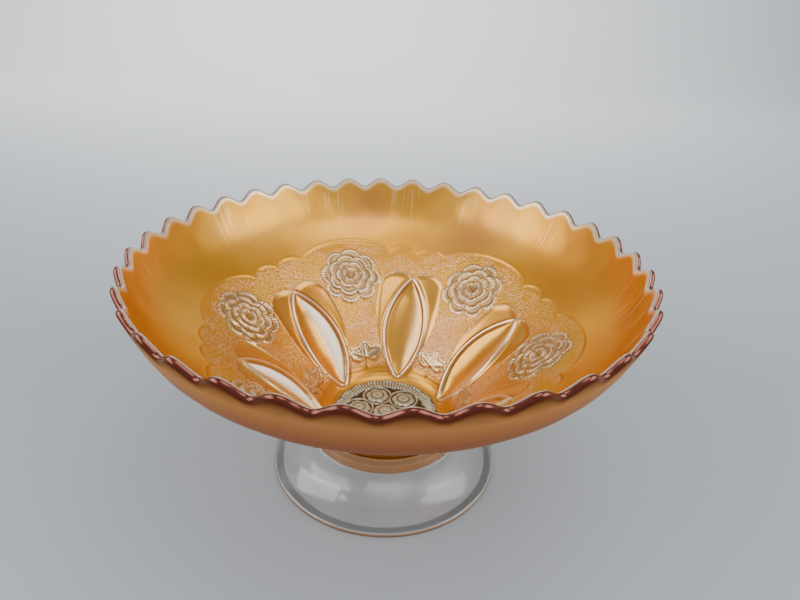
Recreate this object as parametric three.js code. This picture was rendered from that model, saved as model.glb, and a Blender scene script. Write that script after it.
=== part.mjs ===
// A footed bowl of pressed carnival glass in three pieces: a wide bowl with a scalloped rim, the collar
// that its base is stuck down in, and a hollow flared foot. Millimetres, +Z up; the foot stands on Z = 0,
// centred on Z.
import * as THREE from 'three';

// Bowl
const BOWL_HEIGHT = 77.3; // underside of the base to the top of the wall, at a notch
const RIM_RADIUS = 99.7; // outside of the wall where the rounded edge starts
const BASE_RADIUS = 28.5; // flat underside that seats in the collar
const FLOOR_THICKNESS = 3.6;
const FLOOR_FILLET = 4;
const WALL_THICKNESS = 4.5; // where the pattern is pressed
const EDGE_THICKNESS = 2.8; // at the rim
const WALL_TAPER_START = 0.55; // share of the wall's height where it starts to thin
const LOWER_WALL_SLOPE = 54.5; // degrees above the level, where the wall leaves the base
const UPPER_WALL_SLOPE = 73.3; // degrees above the level, at the rim
// How far each slope carries, as a share of the straight line between the wall's ends
const LOWER_WALL_PULL = 0.67;
const UPPER_WALL_PULL = 0.335;

// Scalloped rim
const LOBE_COUNT = 36;
const LOBE_RISE = 3.8; // top of a lobe above a notch
const LOBE_LEAN = 1.5; // how far a lobe leans out past a notch
const LOBE_DEPTH = 14; // the wall is round again this far below the rim
const NOTCH_ANGLE = 8.9; // degrees from +X to one of the notches

// Collar
const COLLAR_WIDTH = 5.3; // outside of the base to the outside of the collar
const COLLAR_LIP = 0.9; // width of the collar's top edge, outside the bowl's wall
const COLLAR_BEVEL = 0.8;
const LEDGE_THICKNESS = 1.6; // ledge under the bowl's base
const LEDGE_WIDTH = 1.5; // how far the ledge reaches in under the base

// Foot
const FOOT_HEIGHT = 17.5;
const FOOT_RADIUS = 50.8;
const FOOT_EDGE_THICKNESS = 2.6;
const REST_RING_WIDTH = 4; // flat ring that the foot stands on
const JOINT_GAP = 0.3; // layer of fused glass between two pieces
// The foot's two curves: each end's pull, across as a share of the flare and up as a share of the height
const OUTSIDE_EDGE_PULL = { across: 0.5, up: 0.1 };
const OUTSIDE_SHOULDER_PULL = { across: 0.15, up: 0.55 };
const INSIDE_TOP_PULL = { across: 0.1, up: 0.5 };
const INSIDE_RING_PULL = { across: 0.55, up: 0.05 };

// Facets
const LOBE_FACETS = 4;
const RING_FACETS = 72;
const WALL_STEPS = 8;
const EDGE_STEPS = 4;
const FILLET_STEPS = 3;
const SEAT_STEPS = 3;
const FOOT_STEPS = 7;

const COLLAR_RADIUS = BASE_RADIUS + COLLAR_WIDTH;
const HOLLOW_RADIUS = BASE_RADIUS - LEDGE_WIDTH; // hollow through the collar and the top of the foot
const LEDGE_BOTTOM = FOOT_HEIGHT + JOINT_GAP;
const LEDGE_TOP = LEDGE_BOTTOM + LEDGE_THICKNESS;
const BASE_HEIGHT = LEDGE_TOP + JOINT_GAP;
const FLOOR_HEIGHT = BASE_HEIGHT + FLOOR_THICKNESS;
const RIM_HEIGHT = BASE_HEIGHT + BOWL_HEIGHT;

const radians = THREE.MathUtils.degToRad;
const smoothstep = THREE.MathUtils.smoothstep;
const point = (radius, height) => new THREE.Vector2(radius, height);
const heading = (degrees) => point(Math.cos(radians(degrees)), Math.sin(radians(degrees)));

// Outside of the bowl's wall, in the (radius, height) plane, from the edge of the base up to the rim.
function wallCurve() {
  const base = point(BASE_RADIUS, BASE_HEIGHT);
  const rim = point(RIM_RADIUS, RIM_HEIGHT);
  const span = base.distanceTo(rim);
  const lower = base.clone().addScaledVector(heading(LOWER_WALL_SLOPE), span * LOWER_WALL_PULL);
  const upper = rim.clone().addScaledVector(heading(UPPER_WALL_SLOPE), -span * UPPER_WALL_PULL);
  return new THREE.CubicBezierCurve(base, lower, upper, rim);
}

const wall = wallCurve();
const seatEnd = shareWhere((t) => besideWall(t, JOINT_GAP).x > COLLAR_RADIUS - COLLAR_LIP);

// Shares of the curve where the wall has its facets, with the collar's seat between the first few.
function wallShares() {
  const shares = [];
  for (let i = 0; i < SEAT_STEPS; i++) shares.push((seatEnd * i) / SEAT_STEPS);
  for (let i = 0; i <= WALL_STEPS; i++) shares.push(THREE.MathUtils.lerp(seatEnd, 1, i / WALL_STEPS));
  return shares;
}

// Point on the wall's normal through share t of the curve; a positive distance is outside the bowl.
function besideWall(t, distance) {
  const along = wall.getTangent(t);
  return wall.getPoint(t).addScaledVector(point(along.y, -along.x), distance);
}

function wallThickness(t) {
  return THREE.MathUtils.lerp(WALL_THICKNESS, EDGE_THICKNESS, smoothstep(t, WALL_TAPER_START, 1));
}

// Share of the curve where test(t) is first true, by halving.
function shareWhere(test) {
  let low = 0;
  let high = 1;
  while (high - low > 1e-6) {
    const middle = (low + high) / 2;
    if (test(middle)) high = middle;
    else low = middle;
  }
  return high;
}

// Half circle from one end to the other, turning left; both ends are left out.
function roundEdge(from, to, steps) {
  const centre = from.clone().lerp(to, 0.5);
  const points = [];
  for (let i = 1; i < steps; i++) points.push(from.clone().rotateAround(centre, (Math.PI * i) / steps));
  return points;
}

function turned(profile, facets, startAngle = 0) {
  const geometry = new THREE.LatheGeometry(profile, facets, radians(startAngle) + Math.PI / 2);
  return geometry.rotateX(Math.PI / 2);
}

function bowlProfile() {
  const profile = [point(0, BASE_HEIGHT)];
  for (const t of wallShares()) profile.push(besideWall(t, 0));
  const innerRim = besideWall(1, -EDGE_THICKNESS);
  profile.push(...roundEdge(profile.at(-1), innerRim, EDGE_STEPS), innerRim);

  const inner = (t) => besideWall(t, -wallThickness(t));
  const corner = inner(shareWhere((t) => inner(t).y > FLOOR_HEIGHT));
  const pastFillet = (t) => inner(t).y > FLOOR_HEIGHT && inner(t).distanceTo(corner) > FLOOR_FILLET;
  const filletEnd = shareWhere(pastFillet);
  for (let i = WALL_STEPS - 1; i >= 0; i--) {
    profile.push(inner(THREE.MathUtils.lerp(filletEnd, 1, i / WALL_STEPS)));
  }
  const floorEdge = point(corner.x - FLOOR_FILLET, FLOOR_HEIGHT);
  const fillet = new THREE.QuadraticBezierCurve(inner(filletEnd), corner, floorEdge);
  profile.push(...fillet.getPoints(FILLET_STEPS).slice(1), point(0, FLOOR_HEIGHT));
  return profile;
}

// Lifts the top of the wall and leans it out between the notches, most at the rim.
function scallop(geometry) {
  const position = geometry.attributes.position;
  for (let i = 0; i < position.count; i++) {
    const radius = Math.hypot(position.getX(i), position.getY(i));
    const share = smoothstep(position.getZ(i), RIM_HEIGHT - LOBE_DEPTH, RIM_HEIGHT);
    if (share > 0) {
      const angle = Math.atan2(position.getY(i), position.getX(i)) - radians(NOTCH_ANGLE);
      const lobe = share * Math.abs(Math.sin((angle * LOBE_COUNT) / 2));
      const grow = 1 + (lobe * LOBE_LEAN) / radius;
      position.setX(i, position.getX(i) * grow);
      position.setY(i, position.getY(i) * grow);
      position.setZ(i, position.getZ(i) + lobe * LOBE_RISE);
    }
  }
  geometry.computeVertexNormals();
  return geometry;
}

// Ring whose seat follows the bowl's wall, with a ledge under the bowl's base.
function collarProfile() {
  const seat = [point(BASE_RADIUS, LEDGE_TOP)];
  for (const t of wallShares().slice(0, SEAT_STEPS + 1)) seat.push(besideWall(t, JOINT_GAP));
  const start = point(HOLLOW_RADIUS, LEDGE_BOTTOM);
  return [
    start,
    point(COLLAR_RADIUS - COLLAR_BEVEL, LEDGE_BOTTOM),
    point(COLLAR_RADIUS, LEDGE_BOTTOM + COLLAR_BEVEL),
    point(COLLAR_RADIUS, seat.at(-1).y - COLLAR_LIP),
    ...seat.reverse(),
    point(HOLLOW_RADIUS, LEDGE_TOP),
    start,
  ];
}

// Flared skirt: steep under the collar, nearly level at its rounded edge, and hollow from below.
function footProfile() {
  const edgeRadius = FOOT_RADIUS - FOOT_EDGE_THICKNESS / 2;
  const edgeTop = point(edgeRadius, FOOT_EDGE_THICKNESS);
  const edgeBottom = point(edgeRadius, 0);
  const shoulder = point(COLLAR_RADIUS, FOOT_HEIGHT);
  const flare = edgeRadius - COLLAR_RADIUS;
  const outside = new THREE.CubicBezierCurve(
    edgeTop,
    point(
      edgeRadius - flare * OUTSIDE_EDGE_PULL.across,
      FOOT_EDGE_THICKNESS + FOOT_HEIGHT * OUTSIDE_EDGE_PULL.up,
    ),
    point(COLLAR_RADIUS + flare * OUTSIDE_SHOULDER_PULL.across, FOOT_HEIGHT * OUTSIDE_SHOULDER_PULL.up),
    shoulder,
  );
  const ringInside = edgeRadius - REST_RING_WIDTH;
  const hollowFlare = ringInside - HOLLOW_RADIUS;
  const inside = new THREE.CubicBezierCurve(
    point(HOLLOW_RADIUS, FOOT_HEIGHT),
    point(HOLLOW_RADIUS + hollowFlare * INSIDE_TOP_PULL.across, FOOT_HEIGHT * INSIDE_TOP_PULL.up),
    point(ringInside - hollowFlare * INSIDE_RING_PULL.across, FOOT_HEIGHT * INSIDE_RING_PULL.up),
    point(ringInside, 0),
  );
  const edge = roundEdge(edgeBottom, edgeTop, EDGE_STEPS);
  return [...inside.getPoints(FOOT_STEPS), edgeBottom, ...edge, ...outside.getPoints(FOOT_STEPS),
    point(HOLLOW_RADIUS, FOOT_HEIGHT)];
}

function piece(name, geometry, colour, roughness, metalness) {
  const material = new THREE.MeshStandardMaterial({ color: colour, roughness, metalness });
  const mesh = new THREE.Mesh(geometry, material);
  mesh.name = name;
  return mesh;
}

const bowlGeometry = scallop(turned(bowlProfile(), LOBE_COUNT * LOBE_FACETS, NOTCH_ANGLE));

const footedBowl = new THREE.Group();
footedBowl.name = 'footed_bowl';
footedBowl.add(
  piece('bowl', bowlGeometry, '#c68a40', 0.35, 0.3),
  piece('collar', turned(collarProfile(), RING_FACETS), '#b98a4a', 0.15, 0),
  piece('foot', turned(footProfile(), RING_FACETS), '#d9d6cc', 0.05, 0),
);

export default footedBowl;
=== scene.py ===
"""Looks of a footed carnival glass bowl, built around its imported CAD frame. Metres, +Z up, foot on Z = 0."""
import math

import bpy
import numpy as np
from bpy.props import FloatProperty, FloatVectorProperty, IntProperty, PointerProperty
from mathutils import Matrix, Vector


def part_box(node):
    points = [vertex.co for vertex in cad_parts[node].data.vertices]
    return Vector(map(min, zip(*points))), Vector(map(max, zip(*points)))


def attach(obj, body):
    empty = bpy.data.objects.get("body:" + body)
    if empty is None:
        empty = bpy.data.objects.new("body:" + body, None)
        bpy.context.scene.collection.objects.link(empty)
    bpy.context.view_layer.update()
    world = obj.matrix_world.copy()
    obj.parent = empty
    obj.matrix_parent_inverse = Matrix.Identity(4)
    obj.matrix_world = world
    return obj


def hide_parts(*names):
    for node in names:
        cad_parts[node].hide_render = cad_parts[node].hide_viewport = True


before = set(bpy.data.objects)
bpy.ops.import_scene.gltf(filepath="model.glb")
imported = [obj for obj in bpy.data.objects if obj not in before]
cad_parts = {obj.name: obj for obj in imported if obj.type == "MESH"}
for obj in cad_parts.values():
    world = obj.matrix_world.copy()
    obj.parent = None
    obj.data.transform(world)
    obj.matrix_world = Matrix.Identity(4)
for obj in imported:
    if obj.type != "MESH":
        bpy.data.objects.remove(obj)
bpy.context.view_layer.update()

bl_info = {
    "name": "Footed carnival glass bowl",
    "version": (1, 0, 0),
    "blender": (4, 5, 0),
    "location": "3D View > Sidebar > Glassware",
    "description": "Builds a pressed and iridised footed bowl, its collar, its foot and a studio around them",
    "category": "Add Mesh",
}

MM = 0.001
BODY = "root"
LOW, HIGH = 0, 1

BOWL_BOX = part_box("bowl")
COLLAR_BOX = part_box("collar")
FOOT_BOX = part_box("foot")


def linear(code):
    """Linear red, green and blue of an sRGB hex colour."""
    shares = [int(code[i : i + 2], 16) / 255 for i in (1, 3, 5)]
    return tuple(c / 12.92 if c <= 0.04045 else ((c + 0.055) / 1.055) ** 2.4 for c in shares)


def length(name, description, millimetres):
    """A property that holds a length."""
    default = millimetres * MM
    return FloatProperty(name=name, description=description, default=default, unit="LENGTH", precision=5)


def turning(name, description, degrees):
    """A property that holds an angle."""
    default = math.radians(degrees)
    return FloatProperty(name=name, description=description, default=default, unit="ROTATION", precision=4)


def power(name, description, watts):
    """A property that holds a lamp's power."""
    return FloatProperty(name=name, description=description, default=watts, min=0, unit="POWER")


def colour(name, description, code):
    """A property that holds a colour."""
    default = linear(code)
    return FloatVectorProperty(
        name=name, description=description, default=default, subtype="COLOR", min=0, max=1
    )


def share(name, description, value):
    """A property that holds a share from 0 to 1."""
    return FloatProperty(name=name, description=description, default=value, min=0, max=1, subtype="FACTOR")


# Sizes and colours


class BowlSizes(bpy.types.PropertyGroup):
    height: length("Height", "Base of the bowl to the foot of its rounded edge", 77.3)
    rim_radius: length("Rim radius", "Outside of the wall where the rounded edge starts", 99.7)
    base_radius: length("Base radius", "Flat underside that sits in the collar", 28.5)
    wall: length("Wall", "Thickness of the wall where the pattern is pressed", 4.5)
    edge: length("Edge", "Thickness of the wall at the rim", 2.8)
    floor: length("Floor", "Thickness of the glass under the medallion", 3.6)
    fillet: length("Fillet", "Round between the floor and the wall", 4.0)
    lower_slope: turning("Lower slope", "Slope of the wall at the base", 54.5)
    upper_slope: turning("Upper slope", "Slope of the wall at the rim", 73.3)
    lower_pull: share("Lower pull", "How far the lower slope carries, as a share of the wall", 0.67)
    upper_pull: share("Upper pull", "How far the upper slope carries, as a share of the wall", 0.335)
    lobes: IntProperty(name="Lobes", description="Scallops round the rim", default=36, min=6)
    lobe_rise: length("Lobe rise", "Top of a lobe above a notch", 3.8)
    lobe_lean: length("Lobe lean", "How far a lobe leans out past a notch", 1.5)
    lobe_depth: length("Lobe depth", "How far below the rim the wall is round again", 14.0)
    lobe_roundness: FloatProperty(
        name="Lobe roundness", description="0 is a sharp notch, 1 nearly as round as the tops", default=1.0
    )
    notch_angle: turning("Notch angle", "From +X to a notch", 8.9)
    pattern_turn: turning("Pattern turn", "From a notch to the middle of an oval", 10.0)


class PatternSizes(bpy.types.PropertyGroup):
    repeats: IntProperty(name="Repeats", description="Flowers round the bowl", default=6, min=3)
    oval_length: length("Oval length", "Pointed oval, from tip to tip", 52.0)
    oval_width: length("Oval width", "Pointed oval, across its middle", 19.4)
    flower_centre: length("Flower centre", "Middle of a flower, up the wall from the floor", 54.0)
    flower_radius: length("Flower radius", "Middle of a flower to the tips of its petals", 15.4)
    leaf_centre: length("Leaf centre", "Middle of a leaf, up the wall from the floor", 14.5)
    leaf_width: length("Leaf width", "Across a leaf", 15.0)
    border_low: length("Border low", "Where the arcs of the border meet, up the wall from the floor", 65.8)
    border_high: length("Border high", "Top of the border's arc over a flower", 74.0)
    medallion_radius: length("Medallion radius", "Ring of shells on the floor", 23.4)
    ribs: FloatProperty(name="Ribs", description="Fine ribs round a flower, per radian", default=64.0)
    relief: FloatProperty(
        name="Relief", description="Multiplies the height of the whole pattern", default=1.0, min=0
    )


class FootSizes(bpy.types.PropertyGroup):
    edge: length("Edge", "Thickness of the foot's rounded edge", 2.6)
    rest_width: length("Rest width", "Flat ring that the foot stands on", 4.0)
    hollow_radius: length("Hollow radius", "Hollow through the collar and the top of the foot", 27.0)
    seam_height: length("Seam height", "How far the mould's seams stand out", 0.16)
    seam_width: length("Seam width", "Across a mould's seam", 1.1)
    seam_angle: turning("Seam angle", "From +X to the first seam", 2.0)
    seams: IntProperty(name="Seams", description="Mould seams down the foot", default=3, min=1)
    collar_lip: length("Collar lip", "Width of the collar's top edge", 0.9)
    collar_bevel: length("Collar bevel", "Bevel at the collar's lower edge", 0.8)
    collar_bead: length("Collar bead", "How far the lower edge stands out past the side", 0.55)
    collar_spray: share("Collar spray", "How much of the lustre the collar took", 0.5)
    ledge: length("Ledge", "Thickness of the ledge under the bowl's base", 1.6)
    gap: length("Gap", "Layer between two pieces", 0.3)


class GlassColours(bpy.types.PropertyGroup):
    marigold: colour("Marigold", "The lustre's main orange gold", "#C08420")
    amber: colour("Amber", "Its deeper patches", "#AE6C1A")
    peach: colour("Peach", "Its pink patches", "#B97C42")
    pale_gold: colour("Pale gold", "Its palest patches", "#CC943A")
    rose: colour("Rose", "Pink sheen on the stippled ground", "#F2C2AA")
    straw: colour("Straw", "Yellow sheen on the stippled ground", "#E0B866")
    mint: colour("Mint", "Green sheen on the stippled ground", "#C2AE66")
    # Painted shade and painted highlight on the carving: dark in the grooves, pale on the crests.
    groove_gold: colour("Groove gold", "Thick lustre in the wall's carving", "#8E6418")
    groove_brown: colour("Groove brown", "Thick lustre in the floor's carving", "#2C1E0C")
    crest_silver: colour("Crest silver", "Bright glass on the carving's crests", "#DACAB0")
    crest_floor: colour("Crest floor", "Crests of the floor's carving", "#ACA286")
    # A painted highlight: the pale cream painted on one side of each pointed oval.
    oval_pale: colour("Oval pale", "Thin lustre on one side of each pointed oval", "#FFF6E4")
    warm: colour("Warm", "Tint of the lustre's reflections", "#FFD8AC")
    # A painted highlight on the carving's crests.
    crest_pink: colour("Crest pink", "Pink sheen on the carving's crests", "#DEBC9C")
    # On the outside, the rose low down is a painted reflection of the pale floor and the brown halfway up is
    # painted shade.
    outside_floor_reflection_rose: colour("Outside rose", "The lustre low on the outside", "#9C4A3C")
    outside_shaded_brown: colour("Outside brown", "The lustre halfway up the outside", "#944A36")
    outside_gold: colour("Outside gold", "The lustre high on the outside", "#A8644C")
    outside_red: colour("Outside red", "The lustre just below the rounded edge", "#CC8C54")
    edge_plum: colour("Edge plum", "The thick lustre on the rounded rim", "#5A2010")
    edge_cream: colour("Edge cream", "The thin lustre just inside the rim", "#F2D8A8")
    clear: colour("Clear", "Bare soda-lime glass", "#F2EFED")
    shade: colour("Shade", "What the bowl's wall does to light that passes through it", "#CFC8BE")
    overspray: colour("Overspray", "Amber lustre that drifted on to the foot's edge", "#7A4E1C")
    honey: colour("Honey", "Glass of the collar", "#D0A478")


class StudioSettings(bpy.types.PropertyGroup):
    floor_grey: colour("Floor grey", "The pale floor and backdrop", "#8B8F94")
    camera_distance: length("Camera distance", "Camera to the bowl's axis, level", 219.07)
    camera_height: length("Camera height", "Camera above the floor", 194.33)
    camera_turn: turning("Camera turn", "Turn to the right", 1.1545)
    camera_dip: turning("Camera dip", "Dip below the level", 27.4263)
    camera_roll: turning("Camera roll", "Roll to the left", 2.4964)
    lens: FloatProperty(name="Lens", description="Focal length on a 36 mm wide sensor, in mm", default=27.108)
    sky: FloatProperty(name="Sky", description="Strength of the light from all round", default=0.66, min=0)
    overhead: power("Overhead", "Light above the bowl", 3.9)
    left: power("Left", "High light on the left", 0.875)
    low_left: power("Low left", "Low light on the left", 4.9)
    low_right: power("Low right", "Low light on the right", 4.2)
    front: power("Front", "Light behind the camera", 5.0)
    back: power("Back", "Light on the backdrop only", 130.0)


# Shapes in the (radius, height) plane


def smooth(value, start, end):
    """0 before start, 1 after end, and a smooth step between them."""
    t = np.clip((value - start) / (end - start), 0, 1)
    return t * t * (3 - 2 * t)


def bump(distance, width):
    """1 on a line, falling smoothly to 0 about two widths away."""
    return np.exp(-((distance / width) ** 2))


def bezier(p0, p1, p2, p3, count=400):
    """Points and unit tangents along a cubic curve."""
    t = np.linspace(0, 1, count)[:, None]
    points = (1 - t) ** 3 * p0 + 3 * t * (1 - t) ** 2 * p1 + 3 * t**2 * (1 - t) * p2 + t**3 * p3
    along = (1 - t) ** 2 * (p1 - p0) + 2 * t * (1 - t) * (p2 - p1) + t**2 * (p3 - p2)
    return points, along / np.linalg.norm(along, axis=1)[:, None]


def half_circle(start, end, count=24):
    """Points of a half circle from start to end, turning right."""
    centre = (start + end) / 2
    arm = start - centre
    angle = np.linspace(0, math.pi, count + 2)[:, None]
    return centre + np.cos(angle) * arm + np.sin(angle) * np.array([arm[1], -arm[0]])


def round_axis(angle, radius, height):
    """Points at these angles round the axis, radii and heights."""
    return np.stack([radius * np.cos(angle), radius * np.sin(angle), height], -1)


class Section:
    """A turned piece's outline in the (radius, height) plane, read by the distance along it."""

    def __init__(self, *runs):
        points = np.vstack([np.atleast_2d(r) for r in runs])
        step = np.linalg.norm(np.diff(points, axis=0), axis=1)
        keep = np.concatenate([[True], step > 1e-7])
        self.points = points[keep]
        self.q = np.concatenate([[0], np.cumsum(np.linalg.norm(np.diff(self.points, axis=0), axis=1))])
        self.marks = []
        for run in runs:
            end = np.atleast_2d(run)[-1]
            self.marks.append(self.q[np.argmin(np.linalg.norm(self.points - end, axis=1))])

    def at(self, q):
        """Radius, height and outward normal at these distances."""
        q = np.asarray(q, float)
        place = [np.interp(q, self.q, self.points[:, i]) for i in (0, 1)]
        reach = 0.15 * MM
        ahead = [np.interp(q + reach, self.q, self.points[:, i]) for i in (0, 1)]
        behind = [np.interp(q - reach, self.q, self.points[:, i]) for i in (0, 1)]
        along = np.stack([ahead[0] - behind[0], ahead[1] - behind[1]], -1)
        along /= np.maximum(np.linalg.norm(along, axis=-1), 1e-12)[..., None]
        return place[0], place[1], -along[..., 1], along[..., 0]


def spaced(start, end, step):
    """Evenly spaced distances from start up to, and without, end."""
    count = max(1, round(abs(end - start) / step))
    return list(start + (end - start) * np.arange(count) / count)


# Sectors and the tree that copies them round the axis


def sector_mesh(name, section, rows, sector_angle, start_angle, shape):
    """A mesh of one sector of a turned piece. rows holds (distance along the section, columns). shape takes
    each row's angles, distances, radii, heights and normals, and gives its points and marks."""
    vertices, faces, attributes, first = [], [], {}, []
    for q, columns in rows:
        angle = start_angle + sector_angle * np.arange(columns + 1) / columns
        radius, height, out_r, out_z = (np.full(columns + 1, float(v)) for v in section.at(q))
        if radius[0] < 1e-9:
            angle = angle[:1]
            radius, height, out_r, out_z = radius[:1], height[:1], out_r[:1] * 0, out_z[:1]
        points, extra = shape(angle, np.full(len(angle), q), radius, height, out_r, out_z)
        first.append(len(vertices))
        vertices.extend(points)
        for key, values in extra.items():
            attributes.setdefault(key, []).extend(values)
    for i in range(len(rows) - 1):
        a, b = first[i], first[i + 1]
        near = b - a - 1
        far = (first[i + 2] if i + 2 < len(first) else len(vertices)) - b - 1
        if near == 0:
            faces += [(a, b + j, b + j + 1) for j in range(far)]
        elif far == 0:
            faces += [(a + j + 1, a + j, b) for j in range(near)]
        elif near == far:
            faces += [(a + j, b + j, b + j + 1, a + j + 1) for j in range(near)]
        elif far == 2 * near:
            for j in range(near):
                faces.append((a + j, b + 2 * j, b + 2 * j + 1))
                faces.append((a + j, b + 2 * j + 1, a + j + 1))
                faces.append((a + j + 1, b + 2 * j + 1, b + 2 * j + 2))
        elif near == 2 * far:
            for j in range(far):
                faces.append((a + 2 * j, b + j, a + 2 * j + 1))
                faces.append((a + 2 * j + 1, b + j, b + j + 1))
                faces.append((a + 2 * j + 1, b + j + 1, a + 2 * j + 2))
        else:
            raise ValueError(f"{name}: rows of {near} and {far} columns don't meet")
    mesh = bpy.data.meshes.new(name)
    mesh.from_pydata([tuple(v) for v in vertices], [], faces)
    for key, values in attributes.items():
        values = np.asarray(values, np.float32)
        kind = "FLOAT_VECTOR" if values.ndim == 2 else "FLOAT"
        attribute = mesh.attributes.new(key, kind, "POINT")
        attribute.data.foreach_set("vector" if values.ndim == 2 else "value", values.ravel())
    mesh.update()
    return mesh


def add_node(tree, kind, settings=None, inputs=None, stops=None):
    """Adds a node. settings are its properties, inputs are sockets by name or number, each a value or an
    output to link, and stops are a colour ramp's places and colours."""
    node = tree.nodes.new(kind)
    for key, value in (settings or {}).items():
        setattr(node, key, value)
    for key, value in (inputs or {}).items():
        if isinstance(value, bpy.types.NodeSocket):
            tree.links.new(value, node.inputs[key])
        else:
            node.inputs[key].default_value = value
    for i, (place, value) in enumerate(stops or ()):
        elements = node.color_ramp.elements
        element = elements[i] if i < 2 else elements.new(place)
        element.position = place
        element.color = (*value[:3], 1)
    return node


def sector_tree():
    """Raises the relief on one sector, copies the sector round the axis and welds the copies."""
    tree = bpy.data.node_groups.new("turned_by_sectors", "GeometryNodeTree")
    face = tree.interface
    face.new_socket("Geometry", in_out="INPUT", socket_type="NodeSocketGeometry")
    for name, kind in (
        ("Copies", "NodeSocketInt"),
        ("Relief", "NodeSocketFloat"),
        ("Weld distance", "NodeSocketFloat"),
        ("Glass", "NodeSocketMaterial"),
    ):
        face.new_socket(name, in_out="INPUT", socket_type=kind)
    face.new_socket("Geometry", in_out="OUTPUT", socket_type="NodeSocketGeometry")
    given = add_node(tree, "NodeGroupInput").outputs
    height = add_node(tree, "GeometryNodeInputNamedAttribute", {"data_type": "FLOAT"}, {"Name": "height"})
    upward = add_node(tree, "GeometryNodeInputNamedAttribute", {"data_type": "FLOAT_VECTOR"}, {"Name": "out"})
    inputs = {0: height.outputs["Attribute"], 1: given["Relief"]}
    lift = add_node(tree, "ShaderNodeMath", {"operation": "MULTIPLY"}, inputs)
    inputs = {0: upward.outputs["Attribute"], "Scale": lift.outputs[0]}
    offset = add_node(tree, "ShaderNodeVectorMath", {"operation": "SCALE"}, inputs)
    raised = add_node(
        tree, "GeometryNodeSetPosition", None, {"Geometry": given["Geometry"], "Offset": offset.outputs[0]}
    )
    centres = add_node(tree, "GeometryNodePoints", None, {"Count": given["Copies"]})
    step = add_node(tree, "ShaderNodeMath", {"operation": "DIVIDE"}, {0: math.tau, 1: given["Copies"]})
    index = add_node(tree, "GeometryNodeInputIndex")
    inputs = {0: index.outputs[0], 1: step.outputs[0]}
    turn = add_node(tree, "ShaderNodeMath", {"operation": "MULTIPLY"}, inputs)
    rotation = add_node(tree, "ShaderNodeCombineXYZ", None, {"Z": turn.outputs[0]})
    copies = add_node(
        tree,
        "GeometryNodeInstanceOnPoints",
        None,
        {"Points": centres.outputs[0], "Instance": raised.outputs[0], "Rotation": rotation.outputs[0]},
    )
    real = add_node(tree, "GeometryNodeRealizeInstances", None, {"Geometry": copies.outputs[0]})
    inputs = {"Geometry": real.outputs[0], "Distance": given["Weld distance"]}
    welded = add_node(tree, "GeometryNodeMergeByDistance", None, inputs)
    shaded = add_node(tree, "GeometryNodeSetShadeSmooth", None, {"Geometry": welded.outputs[0]})
    painted = add_node(
        tree, "GeometryNodeSetMaterial", None, {"Geometry": shaded.outputs[0], "Material": given["Glass"]}
    )
    add_node(tree, "NodeGroupOutput", None, {"Geometry": painted.outputs[0]})
    return tree


def turned_piece(name, mesh, copies, glass, relief=1.0):
    """The whole piece, baked from one sector by the tree."""
    tree = bpy.data.node_groups.get("turned_by_sectors") or sector_tree()
    source = bpy.data.objects.new(name + "_sector", mesh)
    bpy.context.scene.collection.objects.link(source)
    modifier = source.modifiers.new("turned", "NODES")
    modifier.node_group = tree
    values = {"Copies": copies, "Relief": relief, "Weld distance": 0.02 * MM, "Glass": glass}
    for item in tree.interface.items_tree:
        if item.in_out == "INPUT" and item.name in values:
            modifier[item.identifier] = values[item.name]
    depsgraph = bpy.context.evaluated_depsgraph_get()
    baked = bpy.data.meshes.new_from_object(source.evaluated_get(depsgraph), depsgraph=depsgraph)
    baked.name = name
    for key in ("height", "out"):
        baked.attributes.remove(baked.attributes[key])
    source.modifiers.remove(modifier)
    bpy.data.objects.remove(source)
    bpy.data.meshes.remove(mesh)
    piece = bpy.data.objects.new(name, baked)
    bpy.context.scene.collection.objects.link(piece)
    return piece


# The pressed pattern. Lengths here are in millimetres, across (x) and up the wall (s) from the floor's edge.


def even_odd(outline, x, y):
    """True for the points inside a closed outline."""
    result = np.zeros(x.shape, bool)
    for (x0, y0), (x1, y1) in zip(outline, np.roll(outline, -1, axis=0)):
        crosses = (y0 > y) != (y1 > y)
        with np.errstate(divide="ignore", invalid="ignore"):
            result ^= crosses & (x < (x1 - x0) * (y - y0) / (y1 - y0) + x0)
    return result


def line_distance(line, x, y):
    """Distance from each point to a line of short straight pieces."""
    nearest = np.full(x.shape, np.inf)
    for (x0, y0), (x1, y1) in zip(line[:-1], line[1:]):
        dx, dy = x1 - x0, y1 - y0
        t = np.clip(((x - x0) * dx + (y - y0) * dy) / (dx * dx + dy * dy), 0, 1)
        nearest = np.minimum(nearest, np.hypot(x - x0 - t * dx, y - y0 - t * dy))
    return nearest


def oval_half_width(s, oval_length, oval_width):
    """Half the width of a pointed oval of two round arcs, below 0 past its tips."""
    half, reach = oval_width / 2, oval_length / 2
    radius = (half**2 + reach**2) / (2 * half)
    return np.sqrt(np.maximum(radius**2 - (s - reach) ** 2, 0)) - (radius - half)


def loop_outline(oval_length, oval_width):
    """Outer edge of the smooth loop beside a pointed oval, from its lower tip round to its upper tip."""
    half = oval_width / 2
    side, _ = bezier(
        np.array([0.4, 3.0]),
        np.array([half * 0.9, oval_length * 0.2]),
        np.array([half + 7.5, oval_length * 0.45]),
        np.array([half + 6.6, oval_length * 0.93]),
        24,
    )
    arch, _ = bezier(
        side[-1],
        np.array([half + 6.0, oval_length * 1.075]),
        np.array([half - 5.0, oval_length * 1.09]),
        np.array([0.0, oval_length]),
        16,
    )
    return np.vstack([side, arch[1:]])


# The flower's rings of petals: reach as a share of the flower's radius, petals, and turn in radians.
FLOWER_RINGS = ((1.0, 8, 0.2), (0.75, 7, 0.55), (0.5, 6, 0.1), (0.27, 4, 0.4))
FLOWER_HEART = 0.04


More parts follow.
